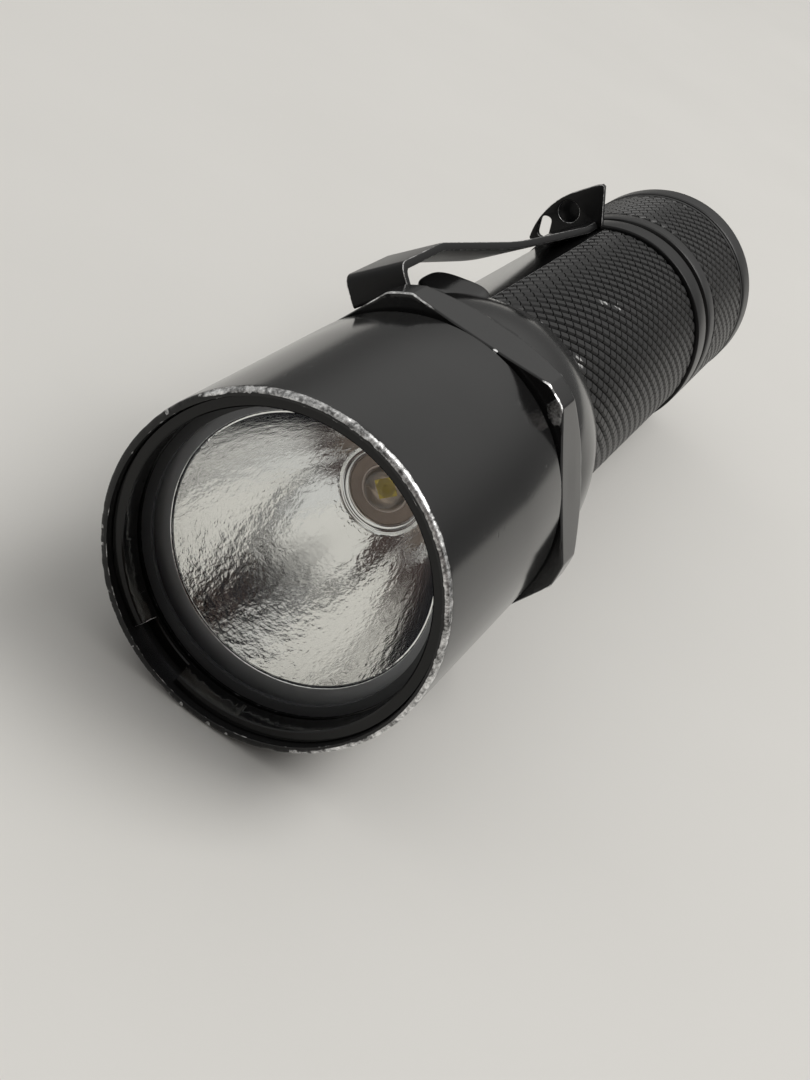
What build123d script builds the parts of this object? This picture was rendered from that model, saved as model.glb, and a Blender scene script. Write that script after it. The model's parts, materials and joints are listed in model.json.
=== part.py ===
"""A tactical flashlight: head, knurled battery tube, pocket clip and tail switch.

The light lies along Y with its lens facing -Y, resting on one flat of its hexagon flange.
The origin is under the middle of the light, on the plane that the flange rests on.
Stations are distances behind the front rim, and radii are from the light's own axis.
"""
import os
from math import cos, radians, sin, sqrt

from build123d import *

# ---- driving dimensions, in millimetres and degrees ----
LENGTH = 137.2              # front rim to the end of the switch boot
HEAD_RADIUS = 17.4          # smooth front barrel of the head
RIM_CHAMFER = 0.35
FLANGE_APOTHEM = 17.5       # axis to a flat of the hexagon flange
FLANGE_RADIUS = 19.2        # the hexagon's corners are turned down to this radius
TUBE_RADIUS = 13.8          # over the knurl
THREAD_RADIUS = 12.0        # both threaded ends of the battery tube, as plain cylinders
RUNNING = 0.05              # radial clearance between pieces that turn or slide

# the head and its optics
RING_FRONT = 0.9
RING_REAR = 4.5
RING_BORE = 15.75
NOTCH_WIDTH = 6.0
NOTCH_DEPTH = 2.2
NOTCH_ANGLE = -156.5        # of the first spanner notch, from the top towards +X
OPTICS_RADIUS = 16.6        # bore for the retaining ring, gasket, lens and reflector flange
GASKET_REAR = 5.0
LENS_REAR = 6.6
REFLECTOR_SEAT = 7.6
REFLECTOR_REAR = 27.2
CAVITY_RADIUS = 15.6
GROOVE_RADIUS = 16.9        # relief between the barrel and the flange
FLANGE_FRONT = 31.9
FLANGE_REAR = 36.0
NECK_REAR = 53.0
NECK_RADIUS = 14.5
LUG_ANGLE = -33.0
LUG_RADIUS = 17.5
LUG_STATION = 47.6

# the reflector is a paraboloid with the emitter at its focus
FOCAL_LENGTH = 2.0
VERTEX = 29.1
LIP_RADIUS = 4.8            # the bowl ends in a flat polished lip round the emitter hole
EMITTER_HOLE_RADIUS = 3.9

# emitter, heat sink and driver
BOARD_FRONT = 27.7
BOARD_RADIUS = 8.0
PACKAGE_FRONT = 27.0
PACKAGE_WIDTH = 5.0
DIE_WIDTH = 2.0
DIE_THICKNESS = 0.15
DOME_RADIUS = 2.3
SINK_FRONT = 29.3
SINK_STEP = 33.0
SINK_REAR = 38.0
LEAD_SPACING = 11.0
LEAD_RADIUS = 0.55
DRIVER_FRONT = 35.4
DRIVER_REAR = 37.0

# battery tube and its two cells
TUBE_FRONT = 39.6
TUBE_BORE = 8.8
KNURL_FRONT = 54.2
KNURL_REAR = 101.6
FLAT_HEIGHT = 13.0          # smooth flat milled through the knurl under the clip's arm
SEAT_RADIUS = 13.2          # smooth seat for the clip's band
SEAT_REAR = 106.6
TUBE_REAR = 119.0
O_RING_FLOOR = 10.9
O_RING_WIDTH = 2.0
O_RING_RADIUS = 0.56
FRONT_O_RING = 50.6
TAIL_O_RING = 110.6
CELL_FRONT = 42.0
CELL_LENGTH = 34.5
CELL_RADIUS = 8.5
NUB_LENGTH = 1.3
NUB_RADIUS = 3.2

# clip: spring steel sheet on a band that snaps round the tube
SHEET = 0.95
CLIP_ANGLE = -45.0
BAND_RADIUS = 13.25
BAND_FRONT = 102.0
BAND_REAR = 106.2
BAND_GAP = 9.0
ARM_WIDTH = 6.9
ARM_ROOT_HEIGHT = 13.3      # underside of the arm where it leaves the fin, from the axis
ARM_ROOT_STATION = 98.0
ARM_BEND = 72.0             # a slight second bend half way along
ARM_BEND_HEIGHT = 15.95
ARM_HEIGHT = 19.95          # underside of its level front stretch
ARM_KINK = 49.5
ARM_TIP = 37.6
TIP_HEIGHT = 18.0
FIN_THICKNESS = 1.0
LANYARD_RADIUS = 1.5
LANYARD_HEIGHT = 16.4

# tail cap and switch
CAP_FRONT = 108.0
CAP_REAR = 134.5
CAP_RADIUS = 14.2
CAP_BORE = 9.5
CAP_THREAD_REAR = 119.4
CONTACT_FRONT = 120.4
CONTACT_REAR = 121.6
HOUSING_RADIUS = 8.6
HOUSING_REAR = 129.4
CHAMBER_RADIUS = 4.4
CHAMBER_FRONT = 122.4
CHAMBER_REAR = 127.4
WASHER_REAR = 129.9
RIM_REAR = 131.5
BOOT_RADIUS = 7.1
BOOT_FRONT = 132.4
BOOT_SHOULDER = 135.2
PLUNGER_RADIUS = 2.3
PLUNGER_REAR = 133.9
SPRING_SEAT = 126.2

# ---- reference geometry ----
LIGHT_AXIS = Axis((0, 0, FLANGE_APOTHEM), (0, 1, 0))
TURNING_PLANE = Plane(origin=(0, -LENGTH / 2, FLANGE_APOTHEM), x_dir=(1, 0, 0), z_dir=(0, 0, 1))


def front_view(station, angle=0.0):
    """The plane square to the axis that faces the front, with its y outwards at the angle."""
    across = (cos(radians(angle)), 0, -sin(radians(angle)))
    return Plane(origin=(0, station - LENGTH / 2, FLANGE_APOTHEM), x_dir=across, z_dir=(0, -1, 0))


def side_view(angle):
    """The plane through the axis whose x is the station and whose y is outwards at the angle."""
    across = (cos(radians(angle)), 0, -sin(radians(angle)))
    return Plane(origin=(0, -LENGTH / 2, FLANGE_APOTHEM), x_dir=(0, 1, 0), z_dir=across)


def top_view(angle, height):
    """The plane square to the outward direction at the angle, with its x along the axis."""
    outwards = Vector(sin(radians(angle)), 0, cos(radians(angle)))
    middle = Vector(0, -LENGTH / 2, FLANGE_APOTHEM) + outwards * height
    return Plane(origin=middle, x_dir=(0, 1, 0), z_dir=outwards)


def ring(inner, outer, front, rear, mode=Mode.ADD):
    """One rectangle of a turned section, between two radii and two stations."""
    with Locations((inner, front)):
        Rectangle(outer - inner, rear - front, align=(Align.MIN, Align.MIN), mode=mode)


def coil(radius, wire, front, rear, turns):
    """A helical spring round the axis that fills the space between two stations."""
    height = rear - front - 2 * wire
    start = (0, front + wire - LENGTH / 2, FLANGE_APOTHEM)
    with BuildPart() as spring:
        with BuildLine() as path:
            Helix(height / turns, height, radius, center=start, direction=(0, 1, 0))
        with BuildSketch(Plane(origin=path.line @ 0, z_dir=path.line % 0)):
            Circle(wire)
        sweep(path=path.line, is_frenet=True)
    return spring


def o_ring(station):
    """A rubber ring in a groove of the battery tube."""
    with BuildPart() as seal:
        with BuildSketch(TURNING_PLANE):
            with Locations((O_RING_FLOOR + O_RING_RADIUS + 0.01, station)):
                Circle(O_RING_RADIUS)
        revolve(axis=LIGHT_AXIS)
    return seal


def cell_can(front):
    """The wrapped can of a cell whose positive nub starts at the station."""
    with BuildPart() as can:
        with BuildSketch(TURNING_PLANE):
            ring(0, CELL_RADIUS, front + NUB_LENGTH, front + CELL_LENGTH)
        revolve(axis=LIGHT_AXIS)
        chamfer(edges().filter_by(GeomType.CIRCLE), 0.4)
    return can


def cell_nub(front):
    """The positive nub of a cell."""
    with BuildPart() as nub:
        with BuildSketch(TURNING_PLANE):
            ring(0, NUB_RADIUS, front, front + NUB_LENGTH)
        revolve(axis=LIGHT_AXIS)
    return nub


def bowl_radius(station):
    """Radius of the reflecting surface at a station."""
    return sqrt(4 * FOCAL_LENGTH * (VERTEX - station))


LIP_STATION = VERTEX - LIP_RADIUS ** 2 / (4 * FOCAL_LENGTH)
BOWL_STATIONS = [LENS_REAR + (LIP_STATION - LENS_REAR) * step / 10 for step in range(11)]

# ---- head ----
with BuildPart() as head_body:
    with BuildSketch(TURNING_PLANE):
        with BuildLine():
            barrel = Polyline(
                (0, 0), (HEAD_RADIUS - RIM_CHAMFER, 0), (HEAD_RADIUS, RIM_CHAMFER),
                (HEAD_RADIUS, FLANGE_FRONT - 1.0), (GROOVE_RADIUS, FLANGE_FRONT - 0.8),
                (GROOVE_RADIUS, FLANGE_FRONT + 0.6), (FLANGE_RADIUS, FLANGE_FRONT),
                (FLANGE_RADIUS, FLANGE_REAR), (17.5, 38.2), (17.1, 38.6),
            )
            neck = ThreePointArc(barrel @ 1, (16.35, 46.0), (NECK_RADIUS, NECK_REAR))
            Polyline(neck @ 1, (0, NECK_REAR), (0, 0))
        make_face()
    revolve(axis=LIGHT_AXIS)
    with BuildSketch(front_view(0)):
        RegularPolygon(FLANGE_APOTHEM, 6, major_radius=False)
    extrude(amount=-NECK_REAR, mode=Mode.INTERSECT)
    # a low rounded lug on the neck, beside the tip of the clip
    with BuildSketch(top_view(LUG_ANGLE, THREAD_RADIUS + 1)):
        with Locations((LUG_STATION, 0)):
            RectangleRounded(7.4, 6.4, 1.8)
    extrude(amount=LUG_RADIUS - THREAD_RADIUS - 1)
    lug_top = faces().filter_by(top_view(LUG_ANGLE, LUG_RADIUS))
    fillet(lug_top[0].edges(), 0.8)
    # cavities, from the front rim to the thread for the battery tube
    with BuildSketch(TURNING_PLANE):
        ring(0, OPTICS_RADIUS, 0, REFLECTOR_SEAT)
        ring(0, CAVITY_RADIUS, REFLECTOR_SEAT, SINK_STEP)
        ring(0, 14.0, SINK_STEP, TUBE_FRONT - 0.6)
        ring(0, THREAD_RADIUS + RUNNING, TUBE_FRONT - 0.6, NECK_REAR)
    revolve(axis=LIGHT_AXIS, mode=Mode.SUBTRACT)

with BuildPart() as lens_retaining_ring:
    with BuildSketch(TURNING_PLANE):
        ring(RING_BORE, OPTICS_RADIUS - RUNNING, RING_FRONT, RING_REAR)
        ring(RING_BORE, RING_BORE + 0.3, RING_REAR - 0.9, RING_REAR - 0.4, mode=Mode.SUBTRACT)
    revolve(axis=LIGHT_AXIS)
    # two spanner notches across the front face
    with BuildSketch(front_view(RING_FRONT, NOTCH_ANGLE)):
        Rectangle(NOTCH_WIDTH, 4 * OPTICS_RADIUS)
    extrude(amount=-NOTCH_DEPTH, mode=Mode.SUBTRACT)

with BuildPart() as lens_gasket:
    with BuildSketch(TURNING_PLANE):
        ring(14.55, OPTICS_RADIUS - RUNNING, RING_REAR, GASKET_REAR)
    revolve(axis=LIGHT_AXIS)

with BuildPart() as lens:
    with BuildSketch(TURNING_PLANE):
        ring(0, OPTICS_RADIUS - 2 * RUNNING, GASKET_REAR, LENS_REAR)
    revolve(axis=LIGHT_AXIS)

with BuildPart() as reflector:
    with BuildSketch(TURNING_PLANE):
        with BuildLine():
            bowl = Spline(*[(bowl_radius(station), station) for station in BOWL_STATIONS])
            Polyline(
                bowl @ 1, (EMITTER_HOLE_RADIUS, LIP_STATION), (EMITTER_HOLE_RADIUS, REFLECTOR_REAR),
                (7.2, REFLECTOR_REAR), (7.2, LIP_STATION), (14.9, REFLECTOR_SEAT + 0.9),
                (14.9, REFLECTOR_SEAT), (OPTICS_RADIUS - RUNNING, REFLECTOR_SEAT),
                (OPTICS_RADIUS - RUNNING, LENS_REAR), bowl @ 0,
            )
        make_face()
    revolve(axis=LIGHT_AXIS)

# ---- emitter ----
with BuildPart() as led_centering_ring:
    with BuildSketch(TURNING_PLANE):
        ring(3.75, 6.9, REFLECTOR_REAR, BOARD_FRONT)
    revolve(axis=LIGHT_AXIS)

with BuildPart() as led_package:
    with BuildSketch(front_view(BOARD_FRONT)):
        Rectangle(PACKAGE_WIDTH, PACKAGE_WIDTH)
    extrude(amount=BOARD_FRONT - PACKAGE_FRONT)

with BuildPart() as led_die:
    with BuildSketch(front_view(PACKAGE_FRONT)):
        Rectangle(DIE_WIDTH, DIE_WIDTH)
    extrude(amount=DIE_THICKNESS)

with BuildPart() as led_dome:
    with BuildSketch(TURNING_PLANE):
        with BuildLine():
            Line((0, PACKAGE_FRONT), (DOME_RADIUS, PACKAGE_FRONT))
            CenterArc((0, PACKAGE_FRONT), DOME_RADIUS, 270, 90)
            Line((0, PACKAGE_FRONT - DOME_RADIUS), (0, PACKAGE_FRONT))
        make_face()
    revolve(axis=LIGHT_AXIS)
    with BuildSketch(front_view(PACKAGE_FRONT)):
        Rectangle(DIE_WIDTH, DIE_WIDTH)
    extrude(amount=DIE_THICKNESS, mode=Mode.SUBTRACT)

with BuildPart() as led_board:
    with BuildSketch(front_view(SINK_FRONT)):
        Circle(BOARD_RADIUS)
        with GridLocations(LEAD_SPACING, 0, 2, 1):
            Circle(LEAD_RADIUS + 0.25, mode=Mode.SUBTRACT)
    extrude(amount=SINK_FRONT - BOARD_FRONT)

with BuildPart() as heat_sink:
    with BuildSketch(TURNING_PLANE):
        ring(0, CAVITY_RADIUS - RUNNING, SINK_FRONT, SINK_STEP)
        ring(11.0, 13.95, SINK_STEP, SINK_REAR)
    revolve(axis=LIGHT_AXIS)
    with BuildSketch(front_view(SINK_FRONT)):
        with GridLocations(LEAD_SPACING, 0, 2, 1):
            Circle(LEAD_RADIUS + 0.25)
    extrude(amount=SINK_FRONT - SINK_STEP, mode=Mode.SUBTRACT)

with BuildPart() as led_leads:
    with BuildSketch(front_view(DRIVER_FRONT)):
        with GridLocations(LEAD_SPACING, 0, 2, 1):
            Circle(LEAD_RADIUS)
    extrude(amount=DRIVER_FRONT - BOARD_FRONT)

with BuildPart() as driver_board:
    with BuildSketch(front_view(DRIVER_REAR)):
        Circle(10.95)
    extrude(amount=DRIVER_REAR - DRIVER_FRONT)

with BuildPart() as driver_inductor:
    with BuildSketch(front_view(DRIVER_FRONT)):
        RectangleRounded(5.2, 5.2, 1.0)
    extrude(amount=1.9)

driver_spring = coil(2.6, 0.3, DRIVER_REAR, CELL_FRONT, 4)

# ---- battery tube ----
with BuildPart() as battery_tube:
    with BuildSketch(TURNING_PLANE):
        ring(TUBE_BORE, THREAD_RADIUS, TUBE_FRONT, TUBE_REAR)
        ring(7.0, TUBE_BORE, TUBE_FRONT, CELL_FRONT - 0.6)
        ring(TUBE_BORE, 13.0, NECK_REAR, KNURL_FRONT)
        ring(TUBE_BORE, SEAT_RADIUS, KNURL_REAR, SEAT_REAR)
        with BuildLine():
            Polyline(
                (TUBE_BORE, KNURL_FRONT), (TUBE_RADIUS - 0.5, KNURL_FRONT), (TUBE_RADIUS, KNURL_FRONT + 0.5),
                (TUBE_RADIUS, KNURL_REAR - 0.3), (TUBE_RADIUS - 0.3, KNURL_REAR), (TUBE_BORE, KNURL_REAR),
                close=True,
            )
        make_face()
        for groove in (FRONT_O_RING, TAIL_O_RING):
            ring(
                O_RING_FLOOR, THREAD_RADIUS, groove - O_RING_WIDTH / 2, groove + O_RING_WIDTH / 2,
                mode=Mode.SUBTRACT,
            )
    revolve(axis=LIGHT_AXIS)
    with BuildSketch(front_view(KNURL_FRONT, CLIP_ANGLE)):
        with Locations((0, FLAT_HEIGHT + 2)):
            Rectangle(14.0, 4.0)
    extrude(amount=KNURL_FRONT - KNURL_REAR, mode=Mode.SUBTRACT)

tube_o_ring = o_ring(FRONT_O_RING)
tail_o_ring = o_ring(TAIL_O_RING)
front_cell = cell_can(CELL_FRONT)
front_cell_terminal = cell_nub(CELL_FRONT)
rear_cell = cell_can(CELL_FRONT + CELL_LENGTH)
rear_cell_terminal = cell_nub(CELL_FRONT + CELL_LENGTH)

# ---- clip ----
with BuildPart() as clip_band:
    with BuildSketch(TURNING_PLANE):
        ring(BAND_RADIUS, BAND_RADIUS + SHEET, BAND_FRONT, BAND_REAR)
    revolve(axis=LIGHT_AXIS)
    with BuildSketch(front_view(BAND_FRONT, CLIP_ANGLE + 180)):
        with Locations((0, BAND_RADIUS)):
            Rectangle(BAND_GAP, 8.0)
    extrude(amount=BAND_FRONT - BAND_REAR, mode=Mode.SUBTRACT)
    # the fin that carries the lanyard hole, leaning to one side of the arm
    with BuildSketch(front_view(BAND_FRONT, CLIP_ANGLE)):
        with BuildLine():
            foot = Line((3.9, BAND_RADIUS - 1), (-6.2, BAND_RADIUS - 1))
            flank = Line(foot @ 1, (-6.5, 14.3))
            crown = ThreePointArc(flank @ 1, (-3.6, 17.1), (2.0, 18.8))
            corner = Line(crown @ 1, (5.8, 18.7))
            Line(corner @ 1, foot @ 0)
        make_face()
        with Locations((0, LANYARD_HEIGHT)):
            Circle(LANYARD_RADIUS, mode=Mode.SUBTRACT)
        with Locations((-3.9, 15.3)):
            SlotOverall(2.6, 1.5, rotation=60, mode=Mode.SUBTRACT)
    extrude(amount=-FIN_THICKNESS)
    with BuildSketch(front_view(BAND_FRONT)):
        Circle(BAND_RADIUS)
    extrude(amount=BAND_FRONT - BAND_REAR, mode=Mode.SUBTRACT)

with BuildPart() as clip_arm:
    with BuildSketch(side_view(CLIP_ANGLE)):
        with BuildLine():
            Polyline(
                (BAND_FRONT, ARM_ROOT_HEIGHT), (ARM_ROOT_STATION, ARM_ROOT_HEIGHT),
                (ARM_BEND, ARM_BEND_HEIGHT), (ARM_KINK, ARM_HEIGHT), (ARM_TIP + SHEET, ARM_HEIGHT),
                (ARM_TIP + SHEET, TIP_HEIGHT), (ARM_TIP, TIP_HEIGHT), (ARM_TIP, ARM_HEIGHT + SHEET),
                (ARM_KINK, ARM_HEIGHT + SHEET), (ARM_BEND, ARM_BEND_HEIGHT + SHEET),
                (ARM_ROOT_STATION, ARM_ROOT_HEIGHT + SHEET), (BAND_FRONT, ARM_ROOT_HEIGHT + SHEET),
                close=True,
            )
        make_face()
    extrude(amount=ARM_WIDTH / 2, both=True)

# ---- tail cap ----
with BuildPart() as tail_cap:
    with BuildSketch(TURNING_PLANE):
        with BuildLine():
            skin = Polyline(
                (THREAD_RADIUS + RUNNING, CAP_FRONT), (CAP_RADIUS - 0.5, CAP_FRONT),
                (CAP_RADIUS, CAP_FRONT + 0.5), (CAP_RADIUS, 128.6), (CAP_RADIUS - 0.4, 128.8),
                (CAP_RADIUS - 0.4, 129.1), (CAP_RADIUS + 0.15, 129.3), (CAP_RADIUS + 0.15, CAP_REAR - 1.5),
            )
            edge = ThreePointArc(skin @ 1, (13.9, CAP_REAR - 0.5), (12.8, CAP_REAR))
            Polyline(
                edge @ 1, (BOOT_RADIUS + 2 * RUNNING, CAP_REAR), (BOOT_RADIUS + 2 * RUNNING, RIM_REAR),
                (CAP_BORE, RIM_REAR), (CAP_BORE, CAP_THREAD_REAR),
                (THREAD_RADIUS + RUNNING, CAP_THREAD_REAR), skin @ 0,
            )
        make_face()
    revolve(axis=LIGHT_AXIS)

tail_spring = coil(4.8, 0.45, CELL_FRONT + 2 * CELL_LENGTH, CONTACT_FRONT, 4)

with BuildPart() as switch_retaining_ring:
    with BuildSketch(TURNING_PLANE):
        ring(6.5, CAP_BORE - RUNNING, CAP_THREAD_REAR, CONTACT_FRONT)
    revolve(axis=LIGHT_AXIS)
    # two pin spanner holes
    with BuildSketch(front_view(CAP_THREAD_REAR)):
        with GridLocations(16.0, 0, 2, 1):
            Circle(0.6)
    extrude(amount=CAP_THREAD_REAR - CONTACT_FRONT, mode=Mode.SUBTRACT)

with BuildPart() as switch_board:
    with BuildSketch(TURNING_PLANE):
        ring(0, CAP_BORE - RUNNING, CONTACT_FRONT, CONTACT_REAR)
    revolve(axis=LIGHT_AXIS)

with BuildPart() as switch_housing:
    with BuildSketch(TURNING_PLANE):
        ring(0, HOUSING_RADIUS, CONTACT_REAR, CHAMBER_FRONT)
        ring(CHAMBER_RADIUS, HOUSING_RADIUS, CHAMBER_FRONT, CHAMBER_REAR)
        ring(PLUNGER_RADIUS + RUNNING, HOUSING_RADIUS, CHAMBER_REAR, HOUSING_REAR)
    revolve(axis=LIGHT_AXIS)

switch_spring = coil(3.3, 0.3, CHAMBER_FRONT, SPRING_SEAT, 3)

with BuildPart() as switch_plunger:
    with BuildSketch(TURNING_PLANE):
        ring(0, CHAMBER_RADIUS - 2 * RUNNING, SPRING_SEAT, CHAMBER_REAR - 0.2)
        ring(0, PLUNGER_RADIUS, CHAMBER_REAR - 0.2, PLUNGER_REAR)
    revolve(axis=LIGHT_AXIS)

with BuildPart() as boot_washer:
    with BuildSketch(TURNING_PLANE):
        ring(3.0, CAP_BORE - RUNNING, HOUSING_REAR, WASHER_REAR)
    revolve(axis=LIGHT_AXIS)

with BuildPart() as boot_rim:
    with BuildSketch(TURNING_PLANE):
        ring(BOOT_RADIUS + 0.1, CAP_BORE - RUNNING, WASHER_REAR, RIM_REAR)
    revolve(axis=LIGHT_AXIS)

with BuildPart() as switch_boot:
    with BuildSketch(TURNING_PLANE):
        with BuildLine():
            wall = Polyline((5.6, BOOT_FRONT), (BOOT_RADIUS, BOOT_FRONT), (BOOT_RADIUS, BOOT_SHOULDER))
            shoulder = ThreePointArc(wall @ 1, (6.3, 136.6), (4.4, LENGTH))
            Polyline(
                shoulder @ 1, (0, LENGTH), (0, PLUNGER_REAR), (2.2, PLUNGER_REAR), (2.2, BOOT_SHOULDER),
                (5.6, BOOT_SHOULDER - 0.6), wall @ 0,
            )
        make_face()
    revolve(axis=LIGHT_AXIS)

# ---- one STEP file for each piece ----
PIECES = {
    "head_body": head_body,
    "lens_retaining_ring": lens_retaining_ring,
    "lens_gasket": lens_gasket,
    "lens": lens,
    "reflector": reflector,
    "led_centering_ring": led_centering_ring,
    "led_package": led_package,
    "led_die": led_die,
    "led_dome": led_dome,
    "led_board": led_board,
    "led_leads": led_leads,
    "heat_sink": heat_sink,
    "driver_board": driver_board,
    "driver_inductor": driver_inductor,
    "driver_spring": driver_spring,
    "battery_tube": battery_tube,
    "tube_o_ring": tube_o_ring,
    "tail_o_ring": tail_o_ring,
    "front_cell": front_cell,
    "front_cell_terminal": front_cell_terminal,
    "rear_cell": rear_cell,
    "rear_cell_terminal": rear_cell_terminal,
    "clip_band": clip_band,
    "clip_arm": clip_arm,
    "tail_cap": tail_cap,
    "tail_spring": tail_spring,
    "switch_retaining_ring": switch_retaining_ring,
    "switch_board": switch_board,
    "switch_housing": switch_housing,
    "switch_spring": switch_spring,
    "switch_plunger": switch_plunger,
    "boot_washer": boot_washer,
    "boot_rim": boot_rim,
    "switch_boot": switch_boot,
}

os.makedirs("parts", exist_ok=True)
for name, piece in PIECES.items():
    piece.part.label = name
    export_step(piece.part, f"parts/{name}.step")
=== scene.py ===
"""Looks for the tactical flashlight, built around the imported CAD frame.

Stations are millimetres behind the front rim, radii are millimetres from the light's axis,
and angles are degrees from the top (+Z) towards +X, as in the CAD source.
"""
import json
import math

import bmesh
import bpy
from mathutils import Matrix, Vector, noise

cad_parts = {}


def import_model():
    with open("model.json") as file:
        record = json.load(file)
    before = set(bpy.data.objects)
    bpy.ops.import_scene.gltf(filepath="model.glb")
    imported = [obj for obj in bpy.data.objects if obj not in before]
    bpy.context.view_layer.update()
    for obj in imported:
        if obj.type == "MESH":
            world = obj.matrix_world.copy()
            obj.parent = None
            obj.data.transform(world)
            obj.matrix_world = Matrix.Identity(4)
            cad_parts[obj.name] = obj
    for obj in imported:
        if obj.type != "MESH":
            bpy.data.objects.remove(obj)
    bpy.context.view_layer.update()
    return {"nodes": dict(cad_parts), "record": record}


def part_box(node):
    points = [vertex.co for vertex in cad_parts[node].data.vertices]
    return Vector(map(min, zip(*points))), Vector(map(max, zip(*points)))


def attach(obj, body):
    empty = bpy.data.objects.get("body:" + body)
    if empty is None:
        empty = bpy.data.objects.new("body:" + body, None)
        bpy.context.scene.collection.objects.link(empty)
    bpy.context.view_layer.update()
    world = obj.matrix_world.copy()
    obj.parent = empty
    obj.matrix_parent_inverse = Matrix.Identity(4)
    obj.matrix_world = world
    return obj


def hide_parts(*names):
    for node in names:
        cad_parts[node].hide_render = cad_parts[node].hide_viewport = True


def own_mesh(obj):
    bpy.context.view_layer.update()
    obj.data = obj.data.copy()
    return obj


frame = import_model()

MM = 0.001
HEAD_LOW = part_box("head_body")[0]
LENS_LOW, LENS_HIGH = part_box("lens")
FRONT_Y = HEAD_LOW.y / MM
AXIS_Z = (LENS_LOW.z + LENS_HIGH.z) / 2 / MM


# ---- places -------------------------------------------------------------------------------

def station_of(y):
    """Station, in millimetres, of a row-frame y in metres."""
    return y / MM - FRONT_Y


def at(station, radius, angle):
    """Row-frame point, in metres, at a station, a radius and an angle in degrees."""
    turn = math.radians(angle)
    x, z = radius * math.sin(turn), radius * math.cos(turn)
    return Vector((x, station + FRONT_Y, z + AXIS_Z)) * MM


def side_frame(angle):
    """Matrix whose x is the station, y is outwards at the angle and z is across, in millimetres."""
    turn = math.radians(angle)
    outwards = Vector((math.sin(turn), 0, math.cos(turn)))
    along = Vector((0, 1, 0))
    across = along.cross(outwards)
    matrix = Matrix((along, outwards, across)).transposed().to_4x4()
    matrix.translation = Vector((0, FRONT_Y, AXIS_Z))
    return Matrix.Scale(MM, 4) @ matrix


def front_frame(station, angle):
    """Matrix whose y is outwards at the angle, x is the clockwise side and z is to the front."""
    turn = math.radians(angle)
    outwards = Vector((math.sin(turn), 0, math.cos(turn)))
    across = Vector((math.cos(turn), 0, -math.sin(turn)))
    matrix = Matrix((across, outwards, Vector((0, -1, 0)))).transposed().to_4x4()
    matrix.translation = Vector((0, station + FRONT_Y, AXIS_Z))
    return Matrix.Scale(MM, 4) @ matrix


def grain(point, size, seed=0.0):
    """Smooth noise from -1 to 1 with features of a size in millimetres."""
    return noise.noise(Vector(point) / size + Vector((seed, 1.7 * seed, -seed)))


def lerp(a, b, t):
    """The value a share t of the way from a to b."""
    return a + (b - a) * t


def smooth(low, high, value):
    """0 at low, 1 at high, and an S-curve between them."""
    t = min(max((value - low) / (high - low), 0.0), 1.0)
    return t * t * (3 - 2 * t)


# ---- meshes -------------------------------------------------------------------------------

def make_object(name, verts, faces, wear_and_shade=None, sharp=35.0):
    """Mesh object from row-frame points, with smooth shading and sharp edges by angle."""
    mesh = bpy.data.meshes.new(name)
    mesh.from_pydata([tuple(v) for v in verts], [], faces)
    mesh.validate()
    if wear_and_shade is not None:
        layer = mesh.attributes.new("wear_and_shade", "FLOAT", "POINT")
        layer.data.foreach_set("value", wear_and_shade)
    return finish_object(name, mesh, sharp)


def finish_object(name, mesh, sharp=35.0):
    """Object for a mesh, its faces smooth apart from edges over an angle."""
    bm = bmesh.new()
    bm.from_mesh(mesh)
    bmesh.ops.recalc_face_normals(bm, faces=bm.faces)
    bm.to_mesh(mesh)
    bm.free()
    mesh.polygons.foreach_set("use_smooth", [True] * len(mesh.polygons))
    mesh.set_sharp_from_angle(angle=math.radians(sharp))
    obj = bpy.data.objects.new(name, mesh)
    bpy.context.scene.collection.objects.link(obj)
    return obj


def loft(rows, closed_rows=True, closed_columns=True):
    """Quads over a grid of points: rows is a list of columns of (point, wear)."""
    verts, wear_and_shade, faces = [], [], []
    count, depth = len(rows), len(rows[0])
    for row in rows:
        for point, worn in row:
            verts.append(point)
            wear_and_shade.append(worn)
    for i in range(count if closed_columns else count - 1):
        for j in range(depth if closed_rows else depth - 1):
            a, b = i * depth, ((i + 1) % count) * depth
            k = (j + 1) % depth
            faces.append((a + j, b + j, b + k, a + k))
    if not closed_columns:
        faces.append(tuple(range(depth)))
        faces.append(tuple(range((count - 1) * depth, count * depth)))
    return verts, faces, wear_and_shade


def turned(name, profile, steps=360, sharp=35.0):
    """Turned solid. profile(angle) gives its closed section as (station, radius, wear)."""
    rows = []
    for i in range(steps):
        angle = 360.0 * i / steps
        rows.append([(at(s, r, angle), w) for s, r, w in profile(angle)])
    return make_object(name, *loft(rows), sharp=sharp)


def section(*points):
    """Profile function of a plain turned solid, from (station, radius) pairs."""
    fixed = [(s, r, 0.0) for s, r in points]
    return lambda angle: fixed


def arc(start, middle, end, steps):
    """Points on the circle through three points, from start to end."""
    (ax, ay), (bx, by), (cx, cy) = start, middle, end
    d = 2 * (ax * (by - cy) + bx * (cy - ay) + cx * (ay - by))
    aa, bb, cc = ax * ax + ay * ay, bx * bx + by * by, cx * cx + cy * cy
    ux = (aa * (by - cy) + bb * (cy - ay) + cc * (ay - by)) / d
    uy = (aa * (cx - bx) + bb * (ax - cx) + cc * (bx - ax)) / d
    radius = math.hypot(ax - ux, ay - uy)
    angles = [math.atan2(y - uy, x - ux) for x, y in (start, middle, end)]
    for k in (1, 2):
        while angles[k] - angles[k - 1] > math.pi:
            angles[k] -= 2 * math.pi
        while angles[k] - angles[k - 1] < -math.pi:
            angles[k] += 2 * math.pi
    turns = [lerp(angles[0], angles[2], i / steps) for i in range(steps + 1)]
    return [(ux + radius * math.cos(t), uy + radius * math.sin(t)) for t in turns]


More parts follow.
